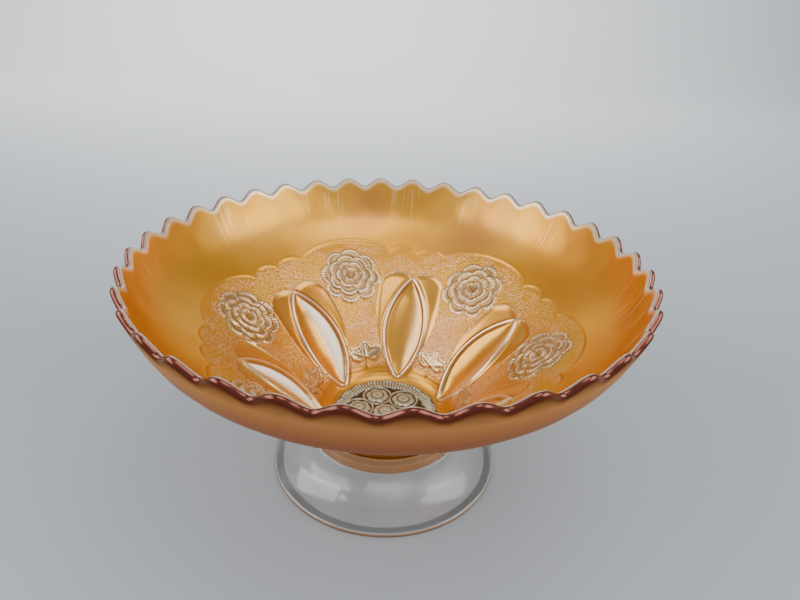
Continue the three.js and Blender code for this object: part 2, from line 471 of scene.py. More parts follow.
def rosette(x, y, radius, rings):
    """Height of a flower of overlapping rings of petals, 1 where the flower is, and 1 on the crests."""
    rho = np.hypot(x, y)
    theta = np.arctan2(y, x)
    height = 0.5 * np.clip(1 - (rho / radius) ** 2, 0, 1)
    crest = np.zeros(x.shape)
    cover = None
    for (reach, petals, phase), inner in zip(rings, [r[0] for r in rings[1:]] + [FLOWER_HEART]):
        swing = np.abs(np.cos(petals * (theta - phase) / 2))
        edge = radius * reach * (0.80 + 0.20 * swing**0.55)
        inside = edge - rho
        if cover is None:
            cover = smooth(inside, -0.3, 0.2)
        seam_angle = np.abs((theta - phase) * petals / math.tau % 1 - 0.5) / petals * math.tau
        own = smooth(inside, 0.0, 0.4) * smooth(rho, radius * inner * 0.85, radius * inner)
        height += 0.5 * smooth(inside, -0.3, 0.3)
        height += 0.3 * bump(inside - 0.7, 0.6) - 0.42 * smooth(inside, 0.9, 3.2)
        height -= 0.45 * own * bump(rho * seam_angle, 0.4)
        lip = 0.85 * bump(inside - 0.7, 0.7) + 0.12
        crest = crest * (1 - own) + own * np.minimum(lip, 1) * (1 - 0.9 * bump(rho * seam_angle, 0.5))
    return height, cover, crest


def bud(x, y, radius, petals):
    """Height of a round bud with a line round its heart, 1 where the bud is, and 1 between its lines."""
    rho = np.hypot(x, y)
    edge = radius * (0.86 + 0.14 * np.abs(np.cos(petals * np.arctan2(y, x) / 2)) ** 0.6)
    inside = edge - rho
    cover = smooth(inside, -0.3, 0.3)
    lines = np.maximum.reduce([bump(rho - radius * 0.52, 0.42), bump(inside, 0.4), bump(rho, 0.5)])
    height = cover * (0.4 + 0.6 * smooth(inside, 0.0, radius * 0.5)) - 0.4 * lines * cover
    return height, cover, cover * (1 - lines)


def leaf(x, y, width):
    """Height of a broad three-lobed leaf with a toothed edge and its stem down, and 1 where the leaf is."""
    half = width / 2
    inside = np.full(x.shape, -np.inf)
    veins = np.zeros(x.shape)
    for tilt, reach in ((0.0, 0.86), (-1.12, 1.0), (1.12, 1.0)):
        heading = (math.sin(tilt), math.cos(tilt))
        along = x * heading[0] + (y + half * 0.45) * heading[1]
        across = np.abs(x * heading[1] - (y + half * 0.45) * heading[0])
        t = np.clip(along / (half * reach * 1.25), 0, 1)
        teeth = 1 + 0.13 * np.abs(np.sin(along * 2.1)) ** 0.7
        blade = half * 0.46 * np.sin(math.pi * t**0.8) ** 0.75 * teeth
        inside = np.maximum(inside, np.where((along > -0.3) & (t < 1), blade - across, -1))
        veins = np.maximum(veins, bump(across, 0.4) * (along > 0) * (1 - t**3))
        side = np.abs(np.sin((along - across * 0.9) * 2.1))
        veins = np.maximum(veins, 0.5 * bump(side, 0.35) * (along > 0) * (t < 0.95))
    body = smooth(inside, -0.25, 0.3)
    height = 0.45 * body + 0.35 * bump(inside - 0.5, 0.45) + 0.35 * body * veins
    stem = bump(x, 0.5) * smooth(y, -half * 1.35, -half * 1.15) * (1 - smooth(y, -half * 0.6, -half * 0.4))
    return height + 0.4 * stem, np.maximum(body, stem)


def border_height(turn, low, high):
    """How far up the wall the border of arcs runs: a wide arc over the flower and a narrow one on each side.
    turn is the angle from the flower as a share of the distance to the next oval."""
    turn = np.abs(turn)
    wide = 0.62
    over = np.clip(1 - (turn / wide) ** 2, 0, 1) ** 0.6
    beside = np.clip(1 - ((turn - (1 + wide) / 2) / ((1 - wide) / 2)) ** 2, 0, 1) ** 0.6
    return np.where(turn < wide, low + (high - low) * over, low + (high - low) * 0.46 * beside)


def wall_pattern(turn, s, radius, sizes, half_sector):
    """Height of the pattern on the wall, and its marks for the glass: shares of stipple, carving, crest and
    gloss. turn runs from -1 to 1 between two ovals."""
    x = radius * turn * half_sector
    across = radius * (1 - np.abs(turn)) * half_sector
    tip = sizes["oval_length"]
    oval = oval_half_width(s, tip, sizes["oval_width"])
    from_tip = np.minimum(s, tip - s)
    slope = np.abs(s - tip / 2) / (tip**2 / 4 / sizes["oval_width"] + 5)
    inside_oval = (oval - across) / np.hypot(1, slope)
    near_oval = smooth(from_tip, -1.2, 0.8)
    scoop = np.clip(1 - (across / np.maximum(oval, 0.3)) ** 2, 0, 1)
    in_oval = smooth(inside_oval, 0.6, 1.6) * near_oval
    height = -1.35 * scoop * in_oval * smooth(oval, 0.5, 7.0)
    ridge = bump(inside_oval + 0.3, 1.05) * near_oval
    groove = bump(inside_oval - 1.15, 0.35) * near_oval * smooth(oval, 1.0, 3.0)
    height += 1.05 * ridge - 0.3 * groove

    outline = loop_outline(tip, sizes["oval_width"])
    from_loop = line_distance(outline, across, s)
    in_loop = even_odd(np.vstack([outline, [[-1, tip], [-1, 3.0]]]), across, s)
    in_band = in_loop & (inside_oval < 0)
    depth = np.minimum(from_loop, np.maximum(-inside_oval, 0))
    height -= np.where(in_band, 0.4 * smooth(depth, 0, 3.0), 0)
    arch = bump(from_loop, 0.5) * smooth(s, 22, 44)
    height += 0.38 * arch

    up = s - sizes["flower_centre"]
    flower, in_flower, flower_crest = rosette(x, up, sizes["flower_radius"], FLOWER_RINGS)
    height = height * (1 - in_flower) + flower * in_flower
    leaf_height, in_leaf = leaf(x, s - sizes["leaf_centre"], sizes["leaf_width"])
    height += leaf_height * 1.3

    border = border_height(turn, sizes["border_low"], sizes["border_high"])
    below = border - s
    height += 0.42 * smooth(-below, -0.35, 0.35) + 0.22 * bump(below + 0.9, 0.5)
    height -= 0.12 * bump(below - 0.9, 0.6)
    rings = np.zeros(s.shape)
    for ring in (1.6, 3.4, 5.2):
        rings += bump(s - ring, 0.4) * (1 - in_oval)
    height += 0.22 * rings

    smooth_oval = smooth(inside_oval, -0.8, -0.2) * near_oval
    plain = np.maximum.reduce([in_flower, in_leaf, smooth_oval, in_loop * 1.0])
    stipple = (1 - plain) * smooth(below, 0.2, 1.0) * smooth(s, 5.5, 8.0)
    # The carved mark is where the carving is painted: dark as painted shade where the crest mark is low, pale
    # as a painted highlight where it is high.
    leaf_crest = 0.75 * smooth(leaf_height, 0.3, 0.9)
    carved = np.maximum.reduce([0.85 * in_flower, 0.9 * in_leaf, ridge, groove, 0.45 * arch, 0.5 * rings])
    crest = np.maximum.reduce(
        [flower_crest * in_flower, leaf_crest * in_leaf, ridge * (1 - groove) * (1 - in_flower), 0.8 * arch]
    )
    gloss = np.maximum.reduce([0.6 * smooth_oval, in_loop * 0.6, carved])
    # A painted highlight: marks the side of each pointed oval that is painted pale cream.
    side = np.sign(turn) * across / np.maximum(oval, 0.5)
    pale = in_oval * smooth(side, -0.05, 0.65) * smooth(inside_oval, 0.9, 2.2)
    marks = {"stipple": stipple, "carved": carved, "crest": crest, "gloss": gloss}
    marks.update({"ribbed": in_flower, "pale": pale})
    return height, marks


def medallion(turn, radius, sizes, half_sector):
    """Height and crests of the floor's medallion: a bud, six more round it and a ring of fluted shells."""
    angle = turn * half_sector
    ring = sizes["medallion_radius"]
    east, north = radius * np.cos(angle), radius * np.sin(angle)
    centre, in_centre, centre_crest = bud(east, north, ring * 0.25, 12)
    bud_radius = ring * 0.235
    away = east - ring * 0.53
    side_bud, in_bud, bud_crest = bud(away, north, bud_radius, 6)
    height = centre * (1 - in_bud) + side_bud
    collar = bump(np.hypot(away, north) - bud_radius * 1.16, 0.42)
    height += 0.7 * collar
    shells = 3
    swing = np.abs(np.cos(turn * shells * math.pi / 2))
    edge = ring * (0.93 + 0.07 * swing**0.5) - radius
    inner = radius - ring * (0.76 + 0.03 * swing)
    shell = smooth(edge, -0.3, 0.3) * smooth(inner, -0.3, 0.3)
    flutes = np.cos(turn * shells * math.pi * 5)
    height += shell * (0.7 + 0.25 * flutes) + 0.5 * bump(edge - 0.5, 0.5)
    shell_crest = shell * (0.6 + 0.4 * flutes)
    # The floor's carving is painted dark between its crests as painted shade and pale on them as a painted
    # highlight.
    crest = np.maximum.reduce([centre_crest * in_centre, bud_crest * in_bud, collar, shell_crest])
    crest = smooth(crest, 0.15, 0.7)
    carved = smooth(ring + 0.6 - radius, 0.0, 1.0)
    return height * smooth(radius, 0.0, 0.6), {"crest": crest, "carved": carved, "gloss": 0.6 * carved}


# Glass


def new_material(name):
    """An empty node material and its output."""
    material = bpy.data.materials.new(name)
    material.use_nodes = True
    material.node_tree.nodes.clear()
    return material, material.node_tree


def marigold_glass(colours):
    """Pressed soda-lime glass sprayed hot with iron chloride, a thin metallic lustre over orange glass. It is
    satin where the glass was stretched after pressing, and bright and glassy in the pressed pattern."""
    material, tree = new_material("iridised_marigold_glass")
    tint = {k: (*getattr(colours, k), 1) for k in GlassColours.__annotations__}
    value = {}
    names = "stipple carved crest gloss ribs ribbed pale clear plum cream outside medallion"
    for name in names.split():
        value[name] = add_node(tree, "ShaderNodeAttribute", {"attribute_name": name}).outputs["Fac"]
    place = add_node(tree, "ShaderNodeTexCoord").outputs["Object"]
    axes = add_node(tree, "ShaderNodeSeparateXYZ", None, {0: place})
    value["across"], value["height"] = axes.outputs["X"], axes.outputs["Z"]
    inputs = {"Vector": place, "Scale": 1 / (0.8 * MM)}
    grains = add_node(tree, "ShaderNodeTexVoronoi", {"feature": "F1"}, inputs)
    value["grain"] = grains.outputs["Distance"]
    wave = add_node(tree, "ShaderNodeMath", {"operation": "SINE"}, {0: value["ribs"]})
    value["wave"] = wave.outputs[0]

    # Near the rim the glass was drawn out after pressing, so streaks there run up the wall.
    flat = add_node(tree, "ShaderNodeVectorMath", {"operation": "MULTIPLY"}, {0: place, 1: (1, 1, 0)})
    spoke = add_node(tree, "ShaderNodeVectorMath", {"operation": "NORMALIZE"}, {0: flat.outputs[0]})
    rise = add_node(tree, "ShaderNodeVectorMath", {"operation": "MULTIPLY"}, {0: place, 1: (0, 0, 0.7)})
    ends = {0: spoke.outputs[0], 1: rise.outputs[0]}
    drawn = add_node(tree, "ShaderNodeVectorMath", {"operation": "ADD"}, ends).outputs[0]

    # Soft noises, with the size of their features.
    for name, source, size, detail in (
        ("patches", place, 60 * MM, 2.0),
        ("clouds", place, 20 * MM, 3.0),
        ("ripples", place, 9 * MM, 1.0),
        ("drawn_lines", drawn, 0.012, 2.0),
        ("drawn_groups", drawn, 0.35, 2.0),
    ):
        inputs = {"Vector": source, "Scale": 1 / size, "Detail": detail, "Roughness": 0.5}
        value[name] = add_node(tree, "ShaderNodeTexNoise", None, inputs).outputs["Fac"]

    # Values that run from low to high while another runs from start to end.
    for name, source, start, end, low, high in (
        ("lines", "drawn_lines", 0.56, 0.70, 0.0, 1.0),
        ("groups", "drawn_groups", 0.5, 0.64, 0.0, 0.4),
        ("near_rim", "height", 78 * MM, 92 * MM, 0.0, 1.0),
        ("between_grains", "grain", 0.1, 0.6, 0.75, 0.0),
        ("fine", "grain", 0.1, 0.6, 1.0, 0.3),
        ("low_down", "height", 40 * MM, 56 * MM, 0.7, 0.0),
        ("near_side", "across", -20 * MM, 10 * MM, 0.1, 1.0),
        # The pointed ovals' painted highlight, strongest on the bowl's left and fading to the right.
        ("highlight_leftward", "across", -14 * MM, 3 * MM, 0.95, 0.12),
        ("up_outside", "height", BOWL_BOX[LOW].z, BOWL_BOX[HIGH].z, 0.0, 1.0),
        ("roughness", "gloss", 0.0, 1.0, 0.36, 0.16),
        ("coat", "gloss", 0.0, 1.0, 0.0, 0.7),
        ("transmission", "clear", 0.0, 1.0, 0.05, 0.9),
        ("film_nanometres", "stipple", 0.0, 1.0, 0.0, 430.0),
    ):
        inputs = {"Value": value[source], "From Min": start, "From Max": end, "To Min": low, "To Max": high}
        value[name] = add_node(tree, "ShaderNodeMapRange", None, inputs).outputs[0]

    # Products. One side of each pointed oval is painted pale cream as a painted highlight, strongest on the
    # bowl's left.
    for name, first, second in (
        ("grouped", "lines", "groups"),
        ("streaks", "grouped", "near_rim"),
        ("pinker", "low_down", "near_side"),
        ("pink", "pinker", "fine"),
        ("thin", "pale", "highlight_leftward"),
        ("stipple_height", "grain", "stipple"),
        ("rib_height", "wave", "ribbed"),
    ):
        inputs = {0: value[first], 1: value[second]}
        value[name] = add_node(tree, "ShaderNodeMath", {"operation": "MULTIPLY"}, inputs).outputs[0]

    # The smooth wall goes from amber to peach, the film on the stipple from gold to mint, and the outside
    # from amber at the base to plum at the rim, with a painted reflection of the pale floor in its rose low
    # down and painted shade in its brown halfway up.
    for name, source, stops in (
        ("hue", "patches", ((0.34, "amber"), (0.68, "peach"), (0.46, "marigold"), (0.57, "pale_gold"))),
        ("film", "clouds", ((0.40, "marigold"), (0.68, "mint"), (0.50, "rose"), (0.60, "straw"))),
        (
            "outer",
            "up_outside",
            (
                (0.18, "amber"),
                (1.0, "edge_plum"),
                # A painted floor reflection low down, then painted shade halfway up.
                (0.36, "outside_floor_reflection_rose"),
                (0.56, "outside_shaded_brown"),
                (0.77, "outside_gold"),
                (0.90, "outside_red"),
            ),
        ),
    ):
        stops = [(position, tint[paint]) for position, paint in stops]
        ramp = add_node(tree, "ShaderNodeValToRGB", None, {"Fac": value[source]}, stops)
        tint[name] = ramp.outputs["Color"]

    # Colours mixed in turn. The stippled ground breaks the film's colours into fine grains, and the carving is
    # painted dark in its grooves as painted shade and pale on its crests as a painted highlight.
    value["evenness"] = 0.35
    for name, share_of_second, first, second in (
        ("base", "evenness", "hue", "marigold"),
        ("base", "streaks", "base", "edge_cream"),
        ("ground", "between_grains", "marigold", "film"),
        ("ground", "pink", "ground", "rose"),
        ("base", "stipple", "base", "ground"),
        ("base", "clear", "base", "clear"),
        # A painted highlight: pale cream on one side of each pointed oval.
        ("base", "thin", "base", "oval_pale"),
        # Painted shade in the carving's grooves and a painted highlight on its crests.
        ("groove", "medallion", "groove_gold", "groove_brown"),
        ("crest", "clouds", "crest_silver", "crest_pink"),
        ("crest", "medallion", "crest", "crest_floor"),
        ("carving", "crest", "groove", "crest"),
        ("base", "carved", "base", "carving"),
        ("base", "outside", "base", "outer"),
        ("base", "cream", "base", "edge_cream"),
        ("base", "plum", "base", "edge_plum"),
    ):
        inputs = {0: value[share_of_second], 6: tint[first], 7: tint[second]}
        tint[name] = add_node(tree, "ShaderNodeMix", {"data_type": "RGBA"}, inputs).outputs[2]

    # Ripples of the whole surface, the grains of the stipple, and the fine ribs in the flowers.
    inputs = {}
    for height, strength, depth in (
        ("ripples", 0.4, 0.2 * MM),
        ("stipple_height", 0.9, 0.3 * MM),
        ("rib_height", 0.5, 0.1 * MM),
    ):
        inputs.update({"Height": value[height], "Strength": strength, "Distance": depth})
        inputs["Normal"] = add_node(tree, "ShaderNodeBump", None, inputs).outputs[0]

    bare = add_node(tree, "ShaderNodeMath", {"operation": "MAXIMUM"}, {0: value["clear"], 1: value["thin"]})
    limits = {"Value": bare.outputs[0], "From Min": 0.0, "From Max": 0.45, "To Min": 0.8, "To Max": 0.0}
    metallic = add_node(tree, "ShaderNodeMapRange", None, limits)
    shader = add_node(
        tree,
        "ShaderNodeBsdfPrincipled",
        None,
        {
            "Base Color": tint["base"],
            "Roughness": value["roughness"],
            "Metallic": metallic.outputs[0],
            "Specular Tint": tint["warm"],
            "Transmission Weight": value["transmission"],
            "Normal": inputs["Normal"],
            "Thin Film Thickness": value["film_nanometres"],
            "Thin Film IOR": 1.8,
            "IOR": 1.51,
            "Coat Weight": value["coat"],
            "Coat Roughness": 0.16,
            "Subsurface Weight": 0.25,
            "Subsurface Radius": (1.0, 0.5, 0.2),
            "Subsurface Scale": 4 * MM,
        },
    )
    let_light_through(tree, shader, tint["shade"])
    return material


def let_light_through(tree, shader, tint):
    """Ends a glass's tree so that light from the lamps passes through it, tinted, to what stands behind."""
    ray = add_node(tree, "ShaderNodeLightPath").outputs["Is Shadow Ray"]
    passed = add_node(tree, "ShaderNodeBsdfTransparent", None, {"Color": tint})
    inputs = {0: ray, 1: shader.outputs[0], 2: passed.outputs[0]}
    surface = add_node(tree, "ShaderNodeMixShader", None, inputs)
    add_node(tree, "ShaderNodeOutputMaterial", None, {"Surface": surface.outputs[0]})


def plain_glass(name, tint, edge_tint, roughness, wave_size, wave_depth):
    """Pressed soda-lime glass with no lustre: clear, bright, and wavy where it chilled against the mould."""
    material, tree = new_material(name)
    sprayed = add_node(tree, "ShaderNodeAttribute", {"attribute_name": "sprayed"}).outputs["Fac"]
    place = add_node(tree, "ShaderNodeTexCoord").outputs["Object"]
    noises = []
    for scale, detail in ((1 / wave_size, 1.0), (0.4 / wave_size, 3.0)):
        inputs = {"Vector": place, "Scale": scale, "Detail": detail}
        noises.append(add_node(tree, "ShaderNodeTexNoise", None, inputs).outputs["Fac"])
    waves, smears = noises
    ranges = []
    for source, start, end, low, high in (
        (smears, 0.35, 0.7, roughness, 3 * roughness),
        (sprayed, 0.0, 1.0, 1.0, 0.3),
    ):
        inputs = {"Value": source, "From Min": start, "From Max": end, "To Min": low, "To Max": high}
        ranges.append(add_node(tree, "ShaderNodeMapRange", None, inputs).outputs[0])
    rough, transmission = ranges
    inputs = {"Height": waves, "Strength": 0.6, "Distance": wave_depth}
    normal = add_node(tree, "ShaderNodeBump", None, inputs)
    inputs = {0: sprayed, 6: (*tint, 1), 7: (*edge_tint, 1)}
    base = add_node(tree, "ShaderNodeMix", {"data_type": "RGBA"}, inputs)
    shader = add_node(
        tree,
        "ShaderNodeBsdfPrincipled",
        None,
        {
            "Base Color": base.outputs[2],
            "Roughness": rough,
            "IOR": 1.51,
            "Transmission Weight": transmission,
            "Normal": normal.outputs[0],
        },
    )
    let_light_through(tree, shader, (0.84, 0.84, 0.83, 1))
    return material


def place_piece(piece, node):
    """Rides the piece on the frame's one body and lets it stand for its CAD node."""
    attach(piece, BODY)
    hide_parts(node)


def bowl_section(sizes):
    """The bowl's outline: floor, fillet, inside of the wall, rounded edge, outside and underside."""
    base_height = BOWL_BOX[LOW].z
    rim_height = base_height + sizes.height
    base = np.array([sizes.base_radius, base_height])
    rim = np.array([sizes.rim_radius, rim_height])
    span = np.linalg.norm(rim - base)
    lower = np.array([math.cos(sizes.lower_slope), math.sin(sizes.lower_slope)])
    upper = np.array([math.cos(sizes.upper_slope), math.sin(sizes.upper_slope)])
    lower_handle = base + lower * span * sizes.lower_pull
    upper_handle = rim - upper * span * sizes.upper_pull
    outside, along = bezier(base, lower_handle, upper_handle, rim)
    t = np.linspace(0, 1, len(outside))
    thickness = sizes.wall + (sizes.edge - sizes.wall) * smooth(t, 0.55, 1.0)
    inward = np.stack([-along[:, 1], along[:, 0]], -1)
    inside = outside + inward * thickness[:, None]
    floor_height = base_height + sizes.floor
    inside = inside[inside[:, 1] > floor_height]
    corner = inside[0]
    wall = inside[np.linalg.norm(inside - corner, axis=1) > sizes.fillet]
    floor_end = np.array([corner[0] - sizes.fillet, floor_height])
    turn = np.linspace(0, 1, 14)[1:, None]
    fillet = (1 - turn) ** 2 * floor_end + 2 * turn * (1 - turn) * corner + turn**2 * wall[0]
    section = Section(
        np.linspace([0, floor_height], floor_end, 40),
        fillet,
        wall,
        half_circle(wall[-1], outside[-1]),
        outside[::-1],
        np.linspace(base, [0, base_height], 20),
    )
    return section, corner, rim_height


class GLASSWARE_OT_bowl(bpy.types.Operator):
    """Build the bowl: its wall, scalloped rim and pressed pattern"""

    bl_idname = "glassware.bowl"
    bl_label = "Bowl"

    def execute(self, context):
        sizes = context.scene.bowl_sizes
        pattern = context.scene.bowl_pattern
        section, corner, rim_height = bowl_section(sizes)
        floor_end, fillet_end, rim_in, rim_out, base_edge, centre = section.marks
        at_corner = floor_end + 0.5 * (fillet_end - floor_end)
        millimetres = {
            k: getattr(pattern, k) / MM
            for k in PatternSizes.__annotations__
            if k not in ("repeats", "ribs", "relief")
        }
        sector = math.tau / pattern.repeats
        half_sector = sector / 2
        start = sizes.notch_angle + sizes.pattern_turn

        wall_start = at_corner + 1.0 * MM
        fine_start = at_corner + 36 * MM
        pattern_top = at_corner + (millimetres["border_high"] + 2.5) * MM
        rows = [(0.0, 15)]
        rows += [(q, 15) for q in spaced(0.6 * MM, 5 * MM, 0.6 * MM)]
        rows += [(q, 30) for q in spaced(5 * MM, 12 * MM, 0.6 * MM)]
        rows += [(q, 60) for q in spaced(12 * MM, wall_start, 0.6 * MM)]
        rows += [(q, 60) for q in spaced(wall_start, at_corner + 15 * MM, 0.75 * MM)]
        rows += [(q, 120) for q in spaced(at_corner + 15 * MM, fine_start, 0.85 * MM)]
        rows += [(q, 120) for q in spaced(fine_start, pattern_top, 0.73 * MM)]
        rows += [(q, 120) for q in spaced(pattern_top, rim_in - 2 * MM, 2.6 * MM)]
        rows += [(q, 120) for q in spaced(rim_in - 2 * MM, rim_in, 1.0 * MM)]
        rows += [(q, 120) for q in spaced(rim_in, rim_out, 0.62 * MM)]
        rows += [(q, 120) for q in spaced(rim_out, rim_out + 3.6 * MM, 1.2 * MM)]
        rows += [(q, 60) for q in spaced(rim_out + 3.6 * MM, base_edge, 5.2 * MM)]
        rows += [(base_edge, 30), (base_edge + 4 * MM, 30), (centre - 6 * MM, 15), (centre, 15)]

        def shape(angle, q, radius, height, out_r, out_z):
            turn = (angle - start) / half_sector - 1
            s = (q - at_corner) / MM
            inner = (q < rim_in) * 1.0
            on_wall = inner * smooth(s, -0.5, 0.5)
            on_floor = inner * (1 - on_wall)
            floor_height, floor_marks = medallion(turn, radius / MM, millimetres, half_sector)
            wall_height, wall_marks = wall_pattern(turn, s, radius / MM, millimetres, half_sector)
            relief = wall_height * on_wall + floor_height * on_floor
            relief -= 0.42 * smooth(s, millimetres["border_low"] - 3, millimetres["border_high"] + 6) * inner

            lift = smooth(height, rim_height - sizes.lobe_depth, rim_height)
            sine = np.sin((angle - sizes.notch_angle) * sizes.lobes / 2)
            soft = sizes.lobe_roundness
            swing = (np.hypot(sine, soft) - soft) / (math.hypot(1, soft) - soft)
            reach = radius + lift * swing * sizes.lobe_lean
            points = round_axis(angle, reach, height + lift * swing * sizes.lobe_rise)
            edge = (q - rim_in) / (rim_out - rim_in)
            flower_x = radius / MM * turn * half_sector
            ribs = np.arctan2(s - millimetres["flower_centre"], flower_x) * pattern.ribs * on_wall
            glassy_edge = 0.75 * smooth(edge, -0.2, 0.0) * (1 - smooth(edge, 0.65, 1.0))
            clear_edge = smooth(edge, -0.05, 0.08) * (1 - smooth(edge, 0.26, 0.44))
            marks = {k: wall_marks.get(k, 0) * on_wall + floor_marks.get(k, 0) * on_floor for k in wall_marks}
            marks["gloss"] = np.maximum(marks["gloss"], glassy_edge)
            marks.update(
                {
                    "height": relief * MM,
                    "out": round_axis(angle, out_r, out_z),
                    "ribs": ribs,
                    "medallion": on_floor,
                    "clear": np.maximum(0.25 * marks["carved"] * on_floor, 0.8 * clear_edge),
                    "cream": smooth(edge, -0.42, -0.12) * (1 - smooth(edge, 0.0, 0.16)) * 0.55,
                    "plum": smooth(edge, 0.2, 0.44) * (1 - smooth(edge, 0.8, 1.5)),
                    "outside": smooth(edge, 0.5, 0.9),
                }
            )
            return points, marks

        mesh = sector_mesh("bowl_sector", section, rows, sector, start, shape)
        glass = marigold_glass(context.scene.glass_colours)
        piece = turned_piece("glass_bowl", mesh, pattern.repeats, glass, pattern.relief)
        place_piece(piece, "bowl")
        return {"FINISHED"}


class GLASSWARE_OT_collar(bpy.types.Operator):
    """Build the collar that the bowl's base is seated in"""

    bl_idname = "glassware.collar"
    bl_label = "Collar"

    def execute(self, context):
        sizes = context.scene.foot_sizes
        bowl = context.scene.bowl_sizes
        low, top = COLLAR_BOX[LOW].z, COLLAR_BOX[HIGH].z
        radius = COLLAR_BOX[HIGH].x
        bowl_outline, _, _ = bowl_section(bowl)
        wall = bowl_outline.points[bowl_outline.q > bowl_outline.marks[3]]
        wall = wall[(wall[:, 1] < top) & (wall[:, 1] > BOWL_BOX[LOW].z + 0.05 * MM)]
        slope = np.array([math.sin(bowl.lower_slope), -math.cos(bowl.lower_slope)])
        seat = wall + slope * sizes.gap
        ledge_top = low + sizes.ledge
        bead = sizes.collar_bead
        bevel = sizes.collar_bevel
        outline = Section(
            [[sizes.hollow_radius, ledge_top]],
            [[bowl.base_radius, ledge_top]],
            seat[::-1],
            half_circle(seat[0], np.array([radius, top - sizes.collar_lip]), 10),
            [[radius - bead, top - sizes.collar_lip * 2.4]],
            [[radius - bead * 0.6, low + bevel * 2]],
            bezier(
                np.array([radius, low + bevel]),
                np.array([radius, low + bevel * 0.3]),
                np.array([radius - bevel * 0.3, low]),
                np.array([radius - bevel, low]),
                8,
            )[0],
            [[sizes.hollow_radius, low]],
            [[sizes.hollow_radius, ledge_top]],
        )
        sectors, columns = 6, 24
        rows = [(q, columns) for q in spaced(0, outline.q[-1], 0.7 * MM)]
        rows.append((outline.q[-1], columns))

        def shape(angle, q, radius, height, out_r, out_z):
            marks = {
                "height": np.zeros(len(q)),
                "out": round_axis(angle, out_r, out_z),
                "sprayed": np.full(len(q), sizes.collar_spray),
            }
            return round_axis(angle, radius, height), marks

        mesh = sector_mesh("collar_sector", outline, rows, math.tau / sectors, 0, shape)
        colours = context.scene.glass_colours
        glass = plain_glass("amber_flashed_glass", colours.honey, colours.overspray, 0.05, 6 * MM, 0.12 * MM)
        piece = turned_piece("glass_collar", mesh, sectors, glass)
        place_piece(piece, "collar")
        return {"FINISHED"}


class GLASSWARE_OT_foot(bpy.types.Operator):
    """Build the clear hollow foot with its mould seams"""

    bl_idname = "glassware.foot"
    bl_label = "Foot"

    def execute(self, context):
        sizes = context.scene.foot_sizes
        edge_radius = FOOT_BOX[HIGH].x - sizes.edge / 2
        top = FOOT_BOX[HIGH].z
        shoulder = COLLAR_BOX[HIGH].x
        flare = edge_radius - shoulder
        inside_radius = edge_radius - sizes.rest_width
        hollow = sizes.hollow_radius
        hollow_flare = inside_radius - hollow
        outside, _ = bezier(
            np.array([edge_radius, sizes.edge]),
            np.array([edge_radius - flare * 0.5, sizes.edge + top * 0.1]),
            np.array([shoulder + flare * 0.15, top * 0.55]),
            np.array([shoulder, top]),
            60,
        )
        inside, _ = bezier(
            np.array([hollow, top]),
            np.array([hollow + hollow_flare * 0.1, top * 0.5]),
            np.array([inside_radius - hollow_flare * 0.55, top * 0.05]),
            np.array([inside_radius, 0.0]),
            60,
        )
        edge = half_circle(np.array([edge_radius, sizes.edge]), np.array([edge_radius, 0.0]))
        outline = Section(outside[::-1], edge, inside[::-1], outside[-1:])
        flare_end = outline.marks[0]
        edge_end = outline.marks[1] + 0.4 * MM
        columns = 96
        rows = [(q, columns) for q in spaced(0, outline.q[-1], 0.8 * MM)]
        rows.append((outline.q[-1], columns))
        sector = math.tau / sizes.seams
        start = sizes.seam_angle - sector / 2

        def shape(angle, q, radius, height, out_r, out_z):
            across = (angle - start - sector / 2) * radius
            fades = smooth(q, 0.5 * MM, 2 * MM) * (1 - smooth(q, flare_end - 9 * MM, flare_end - 5 * MM))
            marks = {
                "height": sizes.seam_height * bump(across, sizes.seam_width / 2) * fades,
                "out": round_axis(angle, out_r, out_z),
                "sprayed": smooth(q, flare_end + 0.7 * MM, flare_end + 1.5 * MM) * (q < edge_end),
            }
            return round_axis(angle, radius, height), marks

        mesh = sector_mesh("foot_sector", outline, rows, sector, start, shape)
        colours = context.scene.glass_colours
        glass = plain_glass("clear_pressed_glass", colours.clear, colours.overspray, 0.09, 14 * MM, 0.3 * MM)
        piece = turned_piece("glass_foot", mesh, sizes.seams, glass)
        place_piece(piece, "foot")
        return {"FINISHED"}


# Studio


def area_light(name, position, target, size, power, tint):
    """A soft rectangular light that faces its target."""
    data = bpy.data.lights.new(name, "AREA")
    data.shape = "RECTANGLE"
    data.size, data.size_y = size
    data.energy = power
    data.color = tint
    light = bpy.data.objects.new(name, data)
    light.location = position
    light.rotation_euler = (Vector(target) - Vector(position)).to_track_quat("-Z", "Y").to_euler()
    bpy.context.scene.collection.objects.link(light)
    return light


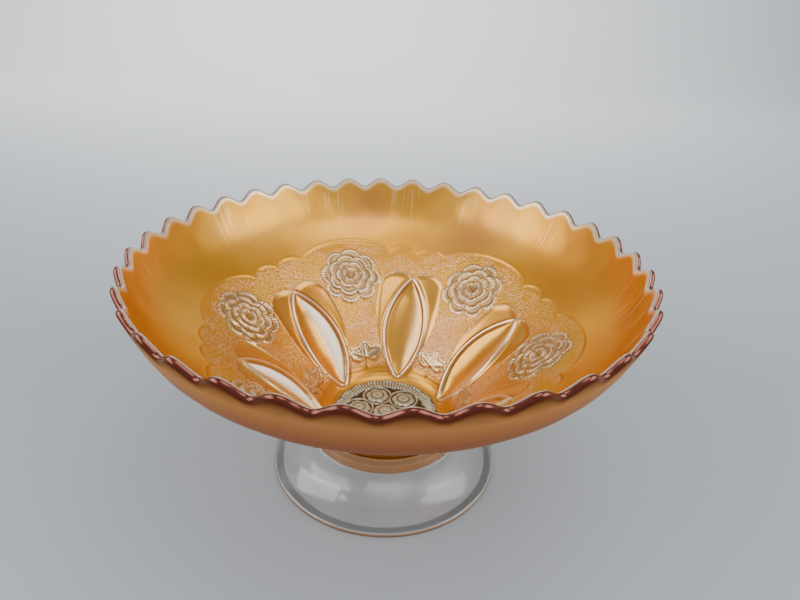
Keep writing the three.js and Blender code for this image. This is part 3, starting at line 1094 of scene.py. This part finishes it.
class GLASSWARE_OT_studio(bpy.types.Operator):
    """Build the pale floor, the soft lights and the camera"""

    bl_idname = "glassware.studio"
    bl_label = "Studio"

    def execute(self, context):
        scene = context.scene
        settings = scene.studio
        material, tree = new_material("matt_pale_card")
        place = add_node(tree, "ShaderNodeTexCoord").outputs["Object"]
        mottle = add_node(tree, "ShaderNodeTexNoise", None, {"Vector": place, "Scale": 3.0, "Detail": 2.0})
        grey = (*settings.floor_grey, 1)
        darker = (*(c * 0.96 for c in settings.floor_grey), 1)
        inputs = {0: mottle.outputs["Fac"], 6: grey, 7: darker}
        shade = add_node(tree, "ShaderNodeMix", {"data_type": "RGBA"}, inputs).outputs[2]
        shader = add_node(
            tree, "ShaderNodeBsdfPrincipled", None, {"Base Color": shade, "Roughness": 0.38, "IOR": 1.4}
        )
        add_node(tree, "ShaderNodeOutputMaterial", None, {"Surface": shader.outputs[0]})

        half_width, front, bend_start, bend_radius, top = 2.2, -1.6, 1.2, 0.8, 2.6
        profile = [(front, 0.0), (bend_start, 0.0)]
        for i in range(1, 17):
            turn = math.pi / 2 * i / 16
            profile.append((bend_start + bend_radius * math.sin(turn), bend_radius * (1 - math.cos(turn))))
        profile.append((bend_start + bend_radius, top))
        vertices = [(x, y, z) for y, z in profile for x in (-half_width, half_width)]
        faces = [(2 * i, 2 * i + 1, 2 * i + 3, 2 * i + 2) for i in range(len(profile) - 1)]
        mesh = bpy.data.meshes.new("backdrop")
        mesh.from_pydata(vertices, [], faces)
        mesh.materials.append(material)
        for polygon in mesh.polygons:
            polygon.use_smooth = True
        backdrop = bpy.data.objects.new("backdrop", mesh)
        scene.collection.objects.link(backdrop)

        world = bpy.data.worlds.new("even_light")
        world.use_nodes = True
        background = world.node_tree.nodes["Background"]
        background.inputs["Color"].default_value = (0.94, 0.97, 1.0, 1)
        background.inputs["Strength"].default_value = settings.sky
        scene.world = world

        middle = (0.0, 0.0, 0.05)
        cool, neutral = (0.93, 0.97, 1.0), (1.0, 0.99, 0.96)
        area_light("overhead_softbox", (0.15, -0.1, 0.92), middle, (0.6, 0.5), settings.overhead, neutral)
        fill = area_light("front_fill", (0.1, -0.85, 0.5), middle, (0.9, 0.4), settings.front, neutral)
        fill.visible_glossy = False
        area_light("left_softbox", (-0.6, 0.3, 0.8), middle, (0.6, 0.5), settings.left, cool)
        area_light("low_left_softbox", (-0.58, -0.1, 0.44), middle, (0.7, 0.4), settings.low_left, cool)
        area_light("low_right_softbox", (0.58, -0.1, 0.44), middle, (0.6, 0.4), settings.low_right, cool)
        place, target, size = (-0.3, 0.75, 1.2), (-0.2, 2.4, 0.3), (1.6, 0.5)
        area_light("backdrop_softbox", place, target, size, settings.back, neutral)

        data = bpy.data.cameras.new("camera")
        data.sensor_width = 36
        data.lens = settings.lens
        data.clip_start = 0.01
        camera = bpy.data.objects.new("camera", data)
        camera.matrix_world = (
            Matrix.Translation((0, -settings.camera_distance, settings.camera_height))
            @ Matrix.Rotation(-settings.camera_turn, 4, "Z")
            @ Matrix.Rotation(math.pi / 2 - settings.camera_dip, 4, "X")
            @ Matrix.Rotation(settings.camera_roll, 4, "Z")
        )
        scene.collection.objects.link(camera)
        scene.camera = camera
        return {"FINISHED"}


class GLASSWARE_PT_panel(bpy.types.Panel):
    """Lists the pieces and their sizes"""

    bl_idname = "GLASSWARE_PT_panel"
    bl_label = "Carnival glass bowl"
    bl_space_type = "VIEW_3D"
    bl_region_type = "UI"
    bl_category = "Glassware"

    def draw(self, context):
        for operator in OPERATORS:
            self.layout.operator(operator.bl_idname)
        for name, group in GROUPS.items():
            box = self.layout.box()
            box.label(text=name.replace("_", " ").capitalize())
            for key in group.__annotations__:
                box.prop(getattr(context.scene, name), key)


OPERATORS = (GLASSWARE_OT_studio, GLASSWARE_OT_bowl, GLASSWARE_OT_collar, GLASSWARE_OT_foot)
GROUPS = {
    "bowl_sizes": BowlSizes,
    "bowl_pattern": PatternSizes,
    "foot_sizes": FootSizes,
    "glass_colours": GlassColours,
    "studio": StudioSettings,
}


def register():
    for group in GROUPS.values():
        bpy.utils.register_class(group)
    for name, group in GROUPS.items():
        setattr(bpy.types.Scene, name, PointerProperty(type=group))
    for cls in (*OPERATORS, GLASSWARE_PT_panel):
        bpy.utils.register_class(cls)


def unregister():
    for cls in (GLASSWARE_PT_panel, *reversed(OPERATORS)):
        bpy.utils.unregister_class(cls)
    for name in GROUPS:
        delattr(bpy.types.Scene, name)
    for group in reversed(GROUPS.values()):
        bpy.utils.unregister_class(group)


def main():
    register()
    bpy.ops.glassware.studio()
    bpy.ops.glassware.bowl()
    bpy.ops.glassware.collar()
    bpy.ops.glassware.foot()


if __name__ == "__main__":
    main()
